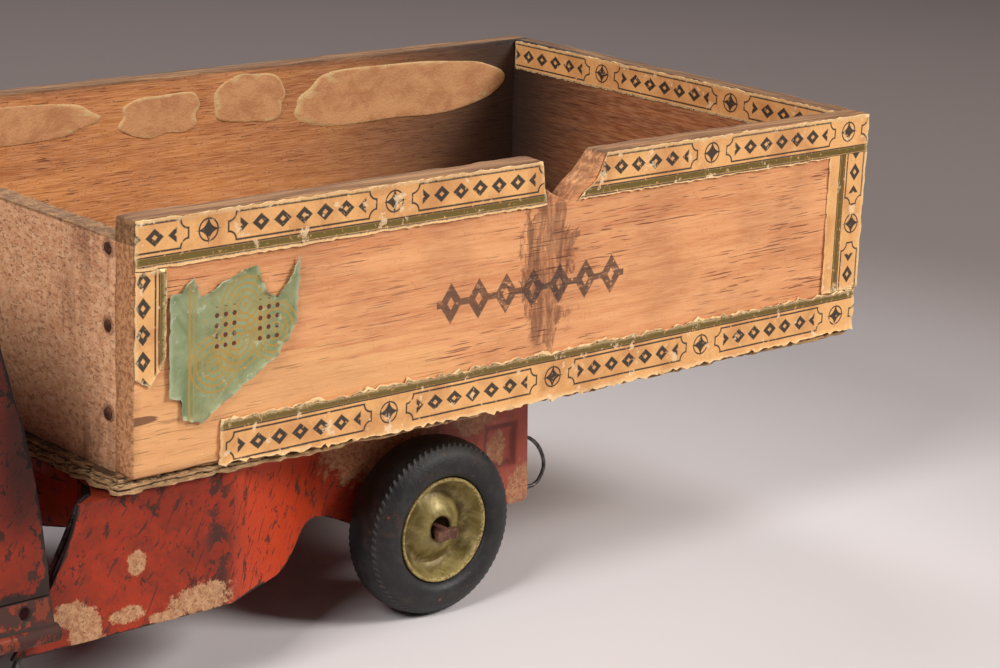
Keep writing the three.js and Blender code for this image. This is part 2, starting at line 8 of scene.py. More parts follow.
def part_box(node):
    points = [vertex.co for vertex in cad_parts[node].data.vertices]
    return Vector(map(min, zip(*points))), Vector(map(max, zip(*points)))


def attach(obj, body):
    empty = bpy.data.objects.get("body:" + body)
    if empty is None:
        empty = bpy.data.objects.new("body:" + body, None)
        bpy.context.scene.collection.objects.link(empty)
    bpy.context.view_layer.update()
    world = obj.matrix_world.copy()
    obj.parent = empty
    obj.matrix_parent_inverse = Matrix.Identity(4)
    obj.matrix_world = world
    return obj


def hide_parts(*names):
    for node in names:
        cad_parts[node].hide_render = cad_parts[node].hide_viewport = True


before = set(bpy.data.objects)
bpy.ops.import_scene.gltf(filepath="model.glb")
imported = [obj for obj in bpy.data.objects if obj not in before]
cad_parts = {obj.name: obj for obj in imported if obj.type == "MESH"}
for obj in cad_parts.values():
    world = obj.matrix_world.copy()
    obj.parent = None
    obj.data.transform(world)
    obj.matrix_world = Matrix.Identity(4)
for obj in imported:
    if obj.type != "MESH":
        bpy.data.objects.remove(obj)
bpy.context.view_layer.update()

mm = 0.001
scene = bpy.context.scene


def measure(node):
    low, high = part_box(node)
    return {"low": low / mm, "high": high / mm, "mid": (low + high) / 2 / mm}


# ---- camera, floor and lights ----

camera = {"at": (0.3407, 0.52515, 0.2434), "azimuth": 137.93, "elevation": 15.54, "roll": 2.265, "lens": 97.5}
studio = {"floor": 3.0, "ambient": 0.09, "near": 0.10, "far": 0.50}


def addCamera():
    turn, rise = math.radians(camera["azimuth"]), math.radians(camera["elevation"])
    back = Vector((math.sin(turn) * math.cos(rise), -math.cos(turn) * math.cos(rise), math.sin(rise)))
    side = Vector((0, 0, 1)).cross(back).normalized()
    upright = Matrix((side, back.cross(side), back)).transposed().to_4x4()
    data = bpy.data.cameras.new("photo_camera")
    data.lens = camera["lens"]
    data.clip_start, data.clip_end = 0.01, 20
    taken = bpy.data.objects.new("photo_camera", data)
    scene.collection.objects.link(taken)
    taken.matrix_world = Matrix.Translation(camera["at"]) @ upright @ Matrix.Rotation(math.radians(camera["roll"]), 4, "Z")
    scene.camera = taken


def addLight(name, place, aim, size, power, tint):
    data = bpy.data.lights.new(name, "AREA")
    data.shape = "RECTANGLE"
    data.size, data.size_y = size
    data.energy = power
    data.color = tint
    lamp = bpy.data.objects.new(name, data)
    scene.collection.objects.link(lamp)
    lamp.location = place
    lamp.rotation_euler = (Vector(place) - Vector(aim)).to_track_quat("Z", "Y").to_euler()


def addStudio():
    scene.view_settings.view_transform = "Standard"
    world = bpy.data.worlds.new("studio")
    scene.world = world
    world.use_nodes = True
    world.node_tree.nodes["Background"].inputs["Color"].default_value = (0.93, 0.96, 1.0, 1)
    world.node_tree.nodes["Background"].inputs["Strength"].default_value = studio["ambient"]
    middle = (-0.05, 0, 0.05)
    addLight("key_right", (-0.80, 0.95, 0.85), middle, (0.5, 0.5), 17.5, (1.0, 0.96, 0.92))
    addLight("over_cab", (0.85, 0.35, 0.85), middle, (0.4, 0.4), 11, (1.0, 0.98, 0.96))
    addLight("behind", (-0.45, -0.75, 1.0), middle, (0.6, 0.5), 6, (1.0, 0.98, 0.97))


# ---- materials: a line is one link between nodes, with arithmetic on it ----

class Line:
    def __init__(self, maker, socket):
        self.maker, self.socket = maker, socket

    def sum(self, operation, other, swapped=False):
        first, second = (other, self) if swapped else (self, other)
        return self.maker.node("Math", {"operation": operation}, {0: first, 1: second})

    def __add__(self, other):
        return self.sum("ADD", other)

    def __sub__(self, other):
        return self.sum("SUBTRACT", other)

    def __rsub__(self, other):
        return self.sum("SUBTRACT", other, True)

    def __mul__(self, other):
        return self.sum("MULTIPLY", other)

    def __truediv__(self, other):
        return self.sum("DIVIDE", other)

    def __pow__(self, other):
        return self.sum("POWER", other)

    def __abs__(self):
        return self.maker.node("Math", {"operation": "ABSOLUTE"}, {0: self})

    __radd__ = __add__
    __rmul__ = __mul__

    def over(self, other):
        return self.sum("MAXIMUM", other)

    def under(self, other):
        return self.sum("MINIMUM", other)


def tint(red, green, blue):
    return tuple((c / 255 / 12.92 if c < 10.3 else ((c / 255 + 0.055) / 1.055) ** 2.4) for c in (red, green, blue)) + (1,)


class Finish:
    def __init__(self, name):
        self.material = bpy.data.materials.new(name)
        self.material.use_nodes = True
        self.tree = self.material.node_tree
        self.shader = self.tree.nodes["Principled BSDF"]
        coordinates = self.node("TexCoord", out=3)
        self.place = self.node("VectorMath", {"operation": "SCALE"}, {0: coordinates, "Scale": 1 / mm})
        split = self.node("SeparateXYZ", {}, {0: self.place})
        self.x, self.y, self.z = (Line(self, split.socket.node.outputs[i]) for i in range(3))

    def node(self, kind, settings=None, sockets=None, out=0):
        made = self.tree.nodes.new("ShaderNode" + kind)
        for key, value in (settings or {}).items():
            setattr(made, key, value)
        for key, value in (sockets or {}).items():
            if isinstance(value, Line):
                self.tree.links.new(value.socket, made.inputs[key])
            else:
                made.inputs[key].default_value = value
        return Line(self, made.outputs[out])

    def cloud(self, stretch, detail=3.0, roughness=0.55, distortion=0.0, shift=0.0):
        moved = self.node("VectorMath", {"operation": "MULTIPLY_ADD"},
                          {0: self.place, 1: stretch, 2: (shift, shift, shift)})
        return self.node("TexNoise", {}, {"Vector": moved, "Scale": 1.0, "Detail": detail,
                                          "Roughness": roughness, "Distortion": distortion})

    def step(self, value, low, high):
        return self.node("MapRange", {"interpolation_type": "SMOOTHSTEP"},
                         {0: value, 1: low, 2: high, 3: 0.0, 4: 1.0})

    def blend(self, mask, first, second):
        return self.node("Mix", {"data_type": "RGBA"}, {0: mask, 6: first, 7: second}, 2)

    def spot(self, across, up, middle, size, ragged=None):
        # 1 inside an ellipse, 0 outside, with a ragged rim
        a = (across - middle[0]) / size[0]
        b = (up - middle[1]) / size[1]
        reach = a * a + b * b
        if ragged:
            reach = reach + (ragged - 0.5) * 2.2
        return self.step(reach, 1.15, 0.75)

    def raised(self, height, depth, strength=1.0):
        return self.node("Bump", {}, {"Height": height, "Distance": depth * mm, "Strength": strength})

    def wear(self):
        return self.node("Attribute", {"attribute_name": "wear"}, {}, 2)

    def done(self, **values):
        for key, value in values.items():
            socket = self.shader.inputs[key.replace("_", " ")]
            if isinstance(value, Line):
                self.tree.links.new(value.socket, socket)
            else:
                socket.default_value = value
        return self.material


# ---- wood ----

stamp = {"middle": (-80.5, 82.4), "pitch": 8.5, "count": 7, "half": (3.5, 4.9), "eye": (1.1, 1.6), "bar": 0.8}
stain = {"middle": (-85, 86), "size": (8, 20)}


def ornamentBand(look, along, up):
    # a row of hollow lozenges on a bar
    a = along - stamp["middle"][0]
    b = abs(up - stamp["middle"][1])
    cell = abs(look.node("Math", {"operation": "WRAP"}, {0: a, 1: stamp["pitch"] / 2, 2: -stamp["pitch"] / 2}))
    outside = cell / stamp["half"][0] + b / stamp["half"][1]
    inside = cell / stamp["eye"][0] + b / stamp["eye"][1]
    ring = look.step(outside, 1.05, 0.95) * look.step(inside, 0.85, 1.1)
    bar = look.step(b, stamp["bar"] + 0.15, stamp["bar"] - 0.15) * look.step(outside, 0.9, 1.0)
    length = stamp["pitch"] * stamp["count"] / 2
    return ring.over(bar) * look.step(abs(a), length + 0.1, length - 0.1)


def boxWood(name, grain, light, dark, marked=False, rough=0.0, shade=None):
    look = Finish(name)
    thin, long = 1.0, 0.045
    lie = {"x": (long, thin, thin), "y": (thin, long, thin)}[grain]
    across = lambda k, stretch=1.0: tuple(c * k * (stretch if c == long else 1) for c in lie)
    bands = look.cloud(across(0.14, 1.6), 4, 0.6, 0.8)
    streaks = look.cloud(across(0.9), 3, 0.6, 0.2, 7)
    fibres = look.cloud(across(3.2, 1.4), 2, 0.5, 0, 3)
    crowd = look.cloud((0.02, 0.06, 0.06), 2, 0.5, 0, 41)
    pores = look.step(look.cloud(across(2.7, 1.0), 2, 0.4, 0, 11), 0.61, 0.70) * look.step(crowd, 0.36, 0.6)
    blotch = look.cloud((0.045, 0.045, 0.06), 3, 0.5, 0, 19)
    speck = look.step(look.cloud((1.1, 1.1, 1.1), 2, 0.6, 0, 23), 0.60, 0.74)
    colour = look.blend(look.step(bands * 0.6 + streaks * 0.4, 0.34, 0.68), light, dark)
    colour = look.blend(look.step(blotch, 0.42, 0.74) * 0.4, colour, tint(150, 84, 48))
    colour = look.blend(look.step(fibres, 0.3, 0.75) * 0.3, colour, tint(247, 190, 140))
    colour = look.blend(pores * 0.8, colour, tint(112, 54, 28))
    colour = look.blend(speck * (0.12 + rough), colour, tint(96, 54, 34))
    colour = look.blend(look.wear() * look.step(streaks, 0.3, 0.6) * 0.6, colour, tint(120, 78, 50))
    if marked:
        colour = markedSide(look, colour, streaks)
    colour = agedTop(look, colour, streaks)
    if shade:  # painted shade on the inner face, deeper towards the far rear corner
        line = look.x if grain == "x" else look.y
        inner = (look.step(look.y, -board["inner"] - 1.5, -board["inner"] - 0.2) if grain == "x"
                 else look.step(look.x, board["rear"] + 3, board["rear"] + 4.5))
        deep = look.step(line, *shade) * inner
        colour = look.blend(deep ** 1.6 * 0.96, colour, tint(30, 13, 6))
    relief = fibres * 0.4 + streaks * 0.5 - pores * 0.6 - speck * (0.3 + rough)
    return look.done(Base_Color=colour, Roughness=0.62 + streaks * 0.25, Normal=look.raised(relief, 0.12 + rough * 0.4))


def agedTop(look, colour, streaks):
    # upper edges have gone grey brown with handling
    upper = (look.step(look.z, board["top"] - 0.9, board["top"] - 0.2) + look.step(look.z, 107.2, 107.9)
             * look.step(look.x, board["front"] - 9, board["front"] - 6))
    aged = look.blend(look.step(streaks, 0.35, 0.6), tint(150, 112, 70), tint(84, 58, 36))
    return look.blend(upper.under(1.0) * 0.75, colour, aged)


def markedSide(look, colour, streaks):
    face = look.step(look.y, board["outer"] - 0.5, board["outer"] - 0.3)
    smoke = look.cloud((0.16, 0.16, 0.10), 4, 0.7, 1.0, 31)
    sway = (smoke - 0.5) * 26
    smudge = look.spot(look.x + sway, look.z + sway, stain["middle"], stain["size"])
    wisps = look.cloud((0.5, 0.5, 0.12), 4, 0.7, 0.6, 35)
    colour = look.blend(smudge * face * look.step(wisps, 0.25, 0.65) * 0.75, colour, tint(84, 40, 26))
    yellow = look.spot(look.x, look.z, (0, 64), (60, 15), streaks)
    colour = look.blend(yellow * face * 0.4, colour, tint(240, 186, 122))
    worn = look.step(look.cloud((0.5, 0.5, 0.9), 4, 0.7, 0, 37), 0.30, 0.46)
    ink = ornamentBand(look, look.x, look.z) * worn * (0.95 - streaks * 0.3)
    colour = look.blend(ink * face, colour, tint(46, 34, 34))
    for height, reach in ((49.0, 1.5), (32.1, 1.5), (12.7, 6)):  # rust that has crept out from the nails
        rust = look.spot(look.x, look.z, (board["front"], board["bottom"] + height), (reach, 1.0), streaks)
        colour = look.blend(rust * face * 0.8, colour, tint(84, 38, 24))
    sawn = look.step(look.x, board["front"] - 0.7, board["front"] - 0.2)
    crumbs = look.step(look.cloud((1.0, 1.0, 1.0), 4, 0.7, 0, 51), 0.42, 0.62)
    grainEnd = look.blend(crumbs, tint(204, 150, 104), tint(146, 92, 58))
    return look.blend(sawn * 0.85, colour, grainEnd)


def endWood(name):
    # rough sawn end board: pale pinkish tan with brown specks and a dark cloud
    look = Finish(name)
    broad = look.cloud((0.05, 0.05, 0.03), 4, 0.6, 0.5)
    fuzz = look.cloud((0.9, 0.5, 0.9), 4, 0.7, 0, 5)
    speck = look.step(look.cloud((1.6, 0.9, 1.6), 3, 0.65, 0, 9), 0.54, 0.68)
    streak = look.cloud((0.4, 0.4, 0.06), 3, 0.6, 0.4, 13)
    colour = look.blend(look.step(fuzz, 0.3, 0.7), tint(246, 194, 150), tint(212, 148, 104))
    colour = look.blend(look.step(broad * 0.6 + streak * 0.4, 0.48, 0.66) * 0.5, colour, tint(120, 74, 54))
    colour = look.blend(speck * 0.6, colour, tint(140, 84, 52))
    colour = agedTop(look, colour, streak)
    for side in (-1, 1):
        for height in (49.0, 32.1, 12.7):
            rust = look.spot(look.y, look.z, (side * (board["outer"] - 9), board["bottom"] + height), (2.4, 2.2), fuzz)
            colour = look.blend(rust * 0.5, colour, tint(84, 42, 26))
    return look.done(Base_Color=colour, Roughness=0.85, Normal=look.raised(fuzz - speck * 0.6, 0.25))


def pulpBoard(name):
    look = Finish(name)
    fibres = look.cloud((0.5, 0.5, 4.0), 4, 0.7, 0.3)
    dirtAndShadeNoise = look.cloud((0.12, 0.12, 0.3), 4, 0.65, 0, 4)
    lines = look.step(look.cloud((0.06, 0.06, 2.2), 2, 0.5, 0, 15), 0.52, 0.62)
    colour = look.blend(look.step(fibres, 0.3, 0.7), tint(186, 142, 98), tint(120, 82, 50))
    outside = look.step(look.x, board["front"] - 1, board["front"]).over(
        look.step(abs(look.y), board["outer"] - 1, board["outer"]))
    colour = look.blend(lines * outside * 0.7, colour, tint(52, 32, 20))
    # painted shade along the top of the ledge on the outer faces, broken up by the noise
    ledge = look.step(look.z, board["bottom"] - 0.4, board["bottom"] - 0.1) * look.step(dirtAndShadeNoise, 0.40, 0.5) * outside
    colour = look.blend(ledge * 0.8, colour, tint(60, 38, 25))
    # painted shade in the gaps between the torn layers
    for height in torn["gaps"]:
        gap = look.step(abs(look.z - board["bottom"] + height), 0.3, 0.12)
        colour = look.blend(gap * 0.9, colour, tint(30, 17, 10))
    colour = look.blend(look.step(dirtAndShadeNoise, 0.5, 0.72) * 0.4, colour, tint(98, 62, 40))
    colour = look.blend(look.wear() * look.step(fibres, 0.4, 0.6) * 0.8, colour, tint(212, 172, 122))
    return look.done(Base_Color=colour, Roughness=0.92, Normal=look.raised(fibres, 0.4))


# ---- paper ----

print_ = {"pitch": 50.8, "half": 20.2, "middle": 4.2, "tall": 3.1, "corner": 2.0, "line": 0.22}


def printedPaper(name):
    look = Finish(name)
    flat = look.node("UVMap", {"uv_map": "print"})
    split = look.node("SeparateXYZ", {}, {0: flat}).socket.node
    along, across = (Line(look, split.outputs[i]) * 100 for i in (0, 1))
    cell = look.node("Math", {"operation": "WRAP"}, {0: along, 1: print_["pitch"] / 2, 2: -print_["pitch"] / 2})
    a, b = abs(cell), abs(across - print_["middle"])
    dx, dy = a - print_["half"], b - print_["tall"]
    corner = print_["corner"] - look.node("Math", {"operation": "SQRT"}, {0: dx * dx + dy * dy})
    shape = dx.over(dy).over(corner)
    ink = look.step(abs(shape), print_["line"] + 0.1, print_["line"] - 0.1)
    link = look.node("Math", {"operation": "WRAP"}, {0: cell, 1: 2.9, 2: -2.9})
    chain = abs(link) / 2.3 + b / 1.9
    lozenges = look.step(chain, 1.1, 0.95) * look.step(chain, 0.25, 0.4)
    within = look.step(a, print_["half"] - 2.8, print_["half"] - 3.2)
    ink = ink.over(lozenges * within)
    c = print_["pitch"] / 2 - a  # star between two frames
    star = look.node("Math", {"operation": "SQRT"}, {0: c}) + look.node("Math", {"operation": "SQRT"}, {0: b})
    round_ = c * c + b * b
    ring = look.step(abs(round_ - 6.0), 1.3, 0.6)
    ink = ink.over(look.step(star, 2.0, 1.85)).over(ring)
    for edge in (8.25, 10.2):
        ink = ink.over(look.step(abs(across - edge), 0.24, 0.12))
    gold = look.step(abs(across - 9.2), 0.78, 0.66)
    worn = look.step(look.cloud((0.7, 0.7, 0.7), 4, 0.7, 0, 3), 0.30, 0.42)
    stains = look.cloud((0.08, 0.08, 0.08), 4, 0.6, 0.6, 8)
    fine = look.cloud((1.4, 1.4, 1.4), 3, 0.6, 0, 12)
    colour = look.blend(look.step(stains, 0.35, 0.7), tint(236, 178, 112), tint(206, 144, 86))
    colour = look.blend(look.step(fine, 0.5, 0.8) * 0.35, colour, tint(160, 104, 62))
    bare = look.step(look.cloud((0.22, 0.22, 0.22), 4, 0.7, 0, 41), 0.60, 0.66)
    colour = look.blend(gold * worn, colour, tint(120, 100, 48))
    colour = look.blend(ink * worn * 0.95, colour, tint(26, 30, 30))
    colour = look.blend(bare * 0.8, colour, tint(240, 206, 164))
    colour = look.blend(look.wear() * look.step(fine, 0.35, 0.5) * 0.7, colour, tint(240, 212, 160))
    shine = 0.75 - gold * worn * 0.3
    return look.done(Base_Color=colour, Roughness=shine, Metallic=gold * worn * 0.35, Normal=look.raised(fine - bare, 0.05))


def labelPaper(name):
    look = Finish(name)
    x, z = look.x, look.z
    stains = look.cloud((0.12, 0.12, 0.12), 4, 0.65, 0.5)
    fine = look.cloud((1.5, 1.5, 1.5), 3, 0.6, 0, 7)
    colour = look.blend(look.step(stains, 0.35, 0.68), tint(150, 160, 118), tint(112, 128, 88))
    rings = None
    for middle in ((4, 91), (12, 79), (-4, 84), (6, 83)):
        reach = ((x - middle[0]) * (x - middle[0]) + (z - middle[1]) * (z - middle[1])) ** 0.5
        wave = look.node("Math", {"operation": "SINE"}, {0: reach * 4.2})
        near = look.step(reach, 8.0, 6.0) * look.step(wave, 0.2, 0.8)
        rings = near if rings is None else rings.over(near)
    frameLine = look.step(abs(x - 18.6), 0.35, 0.2).over(look.step(abs(x - 17.4), 0.25, 0.12))
    weave = look.node("Math", {"operation": "SINE"}, {0: x * 2.6 + stains * 30})
    weave = weave * look.node("Math", {"operation": "SINE"}, {0: z * 2.9 - stains * 22})
    threads = look.step(abs(weave), 0.22, 0.05) * look.step(fine, 0.35, 0.55) * look.step(x, 17, 16)
    colour = look.blend((rings * 0.8).over(frameLine * 0.8).over(threads * 0.55), colour, tint(180, 136, 50))
    cellX = look.node("Math", {"operation": "WRAP"}, {0: x, 1: 1.15, 2: -1.15})
    cellZ = look.node("Math", {"operation": "WRAP"}, {0: z, 1: 1.15, 2: -1.15})
    hole = look.step(cellX * cellX + cellZ * cellZ, 0.40, 0.22)
    block = look.step(abs(abs(x - 3.5) - 6.0), 3.6, 3.5) * look.step(abs(z - 87), 4.7, 4.6)
    colour = look.blend(hole * block, colour, tint(96, 44, 26))
    bare = look.step(look.cloud((0.35, 0.35, 0.35), 4, 0.7, 0, 21), 0.60, 0.68)
    colour = look.blend(bare * 0.7, colour, tint(176, 190, 164))
    colour = look.blend(look.wear() * 0.4, colour, tint(196, 204, 178))
    return look.done(Base_Color=colour, Roughness=0.72, Normal=look.raised(fine - hole * block, 0.06))


def scrapPaper(name):
    look = Finish(name)
    stains = look.cloud((0.14, 0.14, 0.2), 4, 0.65, 0.5)
    fine = look.cloud((1.2, 1.2, 1.2), 4, 0.7, 0, 7)
    colour = look.blend(look.step(stains, 0.35, 0.68), tint(198, 146, 100), tint(176, 122, 80))
    colour = look.blend(look.step(fine, 0.6, 0.85) * 0.25, colour, tint(150, 100, 62))
    colour = look.blend(look.wear() * look.step(fine, 0.3, 0.5) * 0.7, colour, tint(206, 180, 128))
    return look.done(Base_Color=colour, Roughness=0.85, Normal=look.raised(fine, 0.25))


# ---- metal and rubber ----

patches = ((12.5, 24.8, 9.0, 3.6), (46, 28, 5.4, 3.4), (43, 24, 4.6, 4.0), (30.0, 36.8, 2.4, 2.8), (32.5, 25.2, 4.2, 1.9),
           (22, 22.8, 6, 1.3))
rail = {"dent": (-95.0, 33.8), "half": (4.6, 5.0), "depth": 1.3}
railPatches = ((-55, 43, 20, 10), (-86, 43, 7, 4.5), (-103, 21, 5.5, 7.5), (-94.5, 33, 3.6, 4.2))


def chippedRed(name, marks=False, dusk=0.0, worn=0.0):
    look = Finish(name)
    broad = look.cloud((0.035, 0.035, 0.05), 4, 0.6, 0.4)
    cloudy = look.cloud((0.25, 0.25, 0.25), 5, 0.7, 0.3, 6)
    fine = look.cloud((1.6, 1.6, 1.6), 3, 0.7, 0, 9)
    chips = look.step(look.cloud((0.32, 0.32, 0.22), 6, 0.72, 0.2, 17), 0.585 - worn * 0.2, 0.615 - worn * 0.2)
    specks = look.step(look.cloud((1.3, 1.3, 1.0), 3, 0.6, 0, 27), 0.66, 0.70)
    turned = look.z * 0.91 - look.x * 0.42
    leaning = look.node("CombineXYZ", {}, {0: (look.x * 0.91 + look.z * 0.42) * 1.3, 1: look.y * 0.1, 2: turned * 0.07})
    scratch = look.step(look.node("TexNoise", {}, {"Vector": leaning, "Scale": 1.0, "Detail": 2.0}), 0.66, 0.70)
    across = look.node("CombineXYZ", {}, {0: (look.x * 0.7 + look.z * 0.7) * 1.1, 1: look.y * 0.1,
                                          2: (look.z - look.x) * 0.16})
    scuff = look.step(look.node("TexNoise", {}, {"Vector": across, "Scale": 1.0, "Detail": 4.0}), 0.63, 0.66)
    colour = look.blend(look.step(broad, 0.35, 0.68), tint(170, 50, 22), tint(130, 38, 18))
    colour = look.blend(look.step(cloudy, 0.42, 0.72) * 0.6, colour, tint(98, 38, 24))
    colour = look.blend(look.step(fine, 0.42, 0.72) * 0.55, colour, tint(100, 54, 36))
    if worn:
        colour = look.blend(worn, colour, tint(104, 56, 36))
    if marks:
        bright = look.step(look.x, 9, -4) * look.step(look.x, -42, -14)
        colour = look.blend(bright * 0.8, colour, tint(200, 62, 16))
    bare = (chips * 0.85).over(specks * 0.7).over(scratch * 0.8).over(scuff * 0.75)
    if marks:  # paint has flaked along the bend
        beside = look.step(abs(look.x - 8.5), 4.5, 1.0) * look.step(look.y, 60, 62)
        bare = bare.over(look.step(cloudy, 0.46, 0.52) * beside * 0.8)
    edge = look.step(look.wear() + (cloudy - 0.5) * 1.6, 0.55, 0.8)
    bare = bare.over(edge)
    colour = look.blend(bare, colour, tint(62, 48, 44))
    if marks:
        colour, bare = dirtyPatches(look, colour, bare, cloudy, fine)
    if dusk:  # painted shade behind the cab: the upper rear of the cab is darkened to near black
        shadeBehindCab = look.step(look.x, 74, 61) * look.step(look.z, 42, 60) * look.step(look.z, 114, 98)
        colour = look.blend(shadeBehindCab * dusk, colour, tint(18, 5, 3))
    relief = cloudy * 0.3 - bare * 0.8 + fine * 0.2
    return look.done(Base_Color=colour, Roughness=0.38 + bare * 0.3 + cloudy * 0.15, Metallic=bare * 0.35,
                     Specular_IOR_Level=0.25,
                     Normal=look.raised(relief, 0.12))


def dirtyPatches(look, colour, bare, cloudy, fine):
    # pale crust where paint has gone, on the left skirt and on the rail behind the wheel
    skirt = look.step(look.y, 60, 62)
    crust = None
    for x, z, wide, high in patches:
        one = look.spot(look.x, look.z, (x, z), (wide, high), cloudy * 1.5 - 0.25 + (fine - 0.5) * 0.7)
        crust = one if crust is None else crust.over(one)
    dusty = None
    for x, z, wide, high in railPatches:
        one = look.spot(look.x, look.z, (x, z), (wide, high), cloudy * 1.3 - 0.15)
        dusty = one if dusty is None else dusty.over(one)
    leftRail = look.step(look.y, 20, 30) * (1 - skirt)
    faded = leftRail * look.step(look.x, -62, -76)
    colour = look.blend(faded * (0.4 + fine * 0.3), colour, tint(190, 104, 88))
    # painted shade: a dark line round the rim of the pressed dent in the rail
    inside = abs(look.x - rail["dent"][0]) / rail["half"][0]
    inside = inside.over(abs(look.z - rail["dent"][1]) / rail["half"][1])
    dentRimShade = look.step(abs(inside - 1.0), 0.3, 0.05) * leftRail
    colour = look.blend(dentRimShade * 0.6, colour, tint(70, 30, 20))
    bare = bare * (1 - faded * 0.6)
    crust = (crust * skirt).over(dusty * leftRail * 0.75)
    lumps = look.cloud((0.7, 0.7, 0.7), 5, 0.75, 0.3, 47)
    pits = look.step(look.cloud((1.5, 1.5, 1.5), 3, 0.6, 0, 53), 0.58, 0.66)
    pale = look.blend(look.step(lumps, 0.35, 0.65), tint(200, 158, 116), tint(160, 108, 76))
    pale = look.blend(pits * 0.8, pale, tint(92, 52, 34))
    return look.blend(crust * 0.92, colour, pale), bare * (1 - crust)


def wornRubber(name):
    look = Finish(name)
    dust = look.cloud((0.3, 0.3, 0.3), 5, 0.65)
    fine = look.cloud((2.0, 2.0, 2.0), 3, 0.6, 0, 5)
    rust = look.step(look.cloud((0.14, 0.14, 0.14), 5, 0.75, 0.4, 13), 0.56, 0.72)
    colour = look.blend(look.step(dust, 0.4, 0.7), tint(11, 10, 10), tint(36, 34, 33))
    dots = look.step(look.cloud((0.9, 0.9, 0.9), 2, 0.5, 0, 43), 0.64, 0.69) * look.step(rust, 0, 0.5)
    colour = look.blend(rust * 0.35, colour, tint(86, 50, 30))
    colour = look.blend(dots * 0.7, colour, tint(146, 84, 50))
    # painted highlight: the tread dashes, which carry the wear mark, are painted lighter grey
    colour = look.blend(look.wear() * 0.35, colour, tint(80, 78, 76))
    return look.done(Base_Color=colour, Roughness=0.40 + dust * 0.3, Normal=look.raised(fine + dust, 0.1))


rearHub, frontHub = (measure(f"tyre_{end}_left")["mid"] for end in ("rear", "front"))
hub = {"between": (rearHub.x + frontHub.x) / 2, "apart": (frontHub.x - rearHub.x) / 2, "height": rearHub.z}


def hubLacquer(name):
    look = Finish(name)
    patinaAndShadeNoise = look.cloud((0.22, 0.22, 0.22), 5, 0.65, 0.6)
    fine = look.cloud((1.8, 1.8, 1.8), 3, 0.6, 0, 5)
    pits = look.step(look.cloud((0.8, 0.8, 0.8), 4, 0.7, 0, 15), 0.62, 0.68)
    colour = look.blend(look.step(patinaAndShadeNoise, 0.38, 0.66), tint(160, 144, 90), tint(116, 100, 48))
    aside = abs(look.x - hub["between"]) - hub["apart"]
    reach = (aside * aside + (look.z - hub["height"]) ** 2.0) ** 0.5
    # painted shade in the dish bottom round radius 9.3, broken up by the patina noise; the rim of the axle hole is
    # darkened too
    dishShadeAndHoleRim = look.step(abs(reach - 9.3), 2.6, 0.6) * look.step(patinaAndShadeNoise, 0.36, 0.54)
    dishShadeAndHoleRim = dishShadeAndHoleRim.over(look.step(reach, 4.0, 3.0))
    colour = look.blend(dishShadeAndHoleRim * 0.7, colour, tint(92, 74, 34))
    colour = look.blend(pits * 0.6, colour, tint(92, 58, 26))
    rubbed = look.step(look.wear() + (patinaAndShadeNoise - 0.5), 0.45, 0.8)
    colour = look.blend(rubbed * 0.6, colour, look.blend(look.step(fine, 0.4, 0.6), tint(196, 180, 116), tint(128, 84, 42)))
    return look.done(Base_Color=colour, Roughness=0.32 + patinaAndShadeNoise * 0.25, Metallic=0.3, Normal=look.raised(fine, 0.04))


def bareSteel(name, bright, dull, metal=0.8, rough=0.4):
    look = Finish(name)
    rust = look.cloud((0.5, 0.5, 0.5), 5, 0.7, 0.4)
    fine = look.cloud((2.4, 2.4, 2.4), 3, 0.6, 0, 5)
    spread = look.step(rust, 0.42, 0.62)
    colour = look.blend(spread, bright, dull)
    colour = look.blend(look.step(fine, 0.5, 0.75) * 0.3, colour, tint(40, 26, 20))
    return look.done(Base_Color=colour, Roughness=rough + spread * 0.3, Metallic=metal - spread * 0.5 * metal,
                     Normal=look.raised(fine, 0.08))


def floorFinish():
    look = Finish("studio_floor")
    reach = (look.x * look.x + look.y * look.y) ** 0.5 * mm
    # painted pool of light: the floor is paler near the truck and darkens to grey further out
    shade = look.step(reach, studio["near"], studio["far"])
    return look.done(Base_Color=look.blend(shade, tint(222, 217, 218), tint(126, 115, 112)), Roughness=0.8,
                     Specular_IOR_Level=0.2)


# ---- mesh helpers ----

def emptyMesh():
    bm = bmesh.new()
    bm.verts.layers.float.new("wear")
    bm.faces.layers.int.new("rim")
    return bm


def copyOf(node, dissolve=1.0):
    bm = emptyMesh()
    bm.from_mesh(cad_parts[node].data)
    bmesh.ops.scale(bm, vec=(1 / mm, 1 / mm, 1 / mm), verts=bm.verts)
    bmesh.ops.remove_doubles(bm, verts=bm.verts, dist=0.002)
    bmesh.ops.dissolve_limit(bm, angle_limit=math.radians(dissolve), verts=bm.verts, edges=bm.edges)
    return bm


def plate(outline, plane, low, high):
    order = {"xz": (0, 2, 1), "xy": (0, 1, 2), "yz": (1, 2, 0)}[plane]
    bm = emptyMesh()

    def at(a, b, c):
        point = Vector((0, 0, 0))
        for axis, value in zip(order, (a, b, c)):
            point[axis] = value
        return point

    face = bm.faces.new([bm.verts.new(at(a, b, low)) for a, b in outline])
    grown = bmesh.ops.extrude_face_region(bm, geom=[face])["geom"]
    bmesh.ops.translate(bm, verts=[g for g in grown if isinstance(g, bmesh.types.BMVert)], vec=at(0, 0, high - low))
    bmesh.ops.recalc_face_normals(bm, faces=bm.faces)
    return bm


def softenEdges(bm, width, segments=2, least=30, only=None, mark=1):
    sharp = [e for e in bm.edges if e.is_manifold and math.degrees(e.calc_face_angle()) > least]
    if only:
        sharp = [e for e in sharp if only(e)]
    made = bmesh.ops.bevel(bm, geom=sharp, offset=width, offset_type="OFFSET", segments=segments, profile=0.5,
                           affect="EDGES", clamp_overlap=True, material=-1)
    for face in made["faces"]:
        face[bm.faces.layers.int["rim"]] = mark


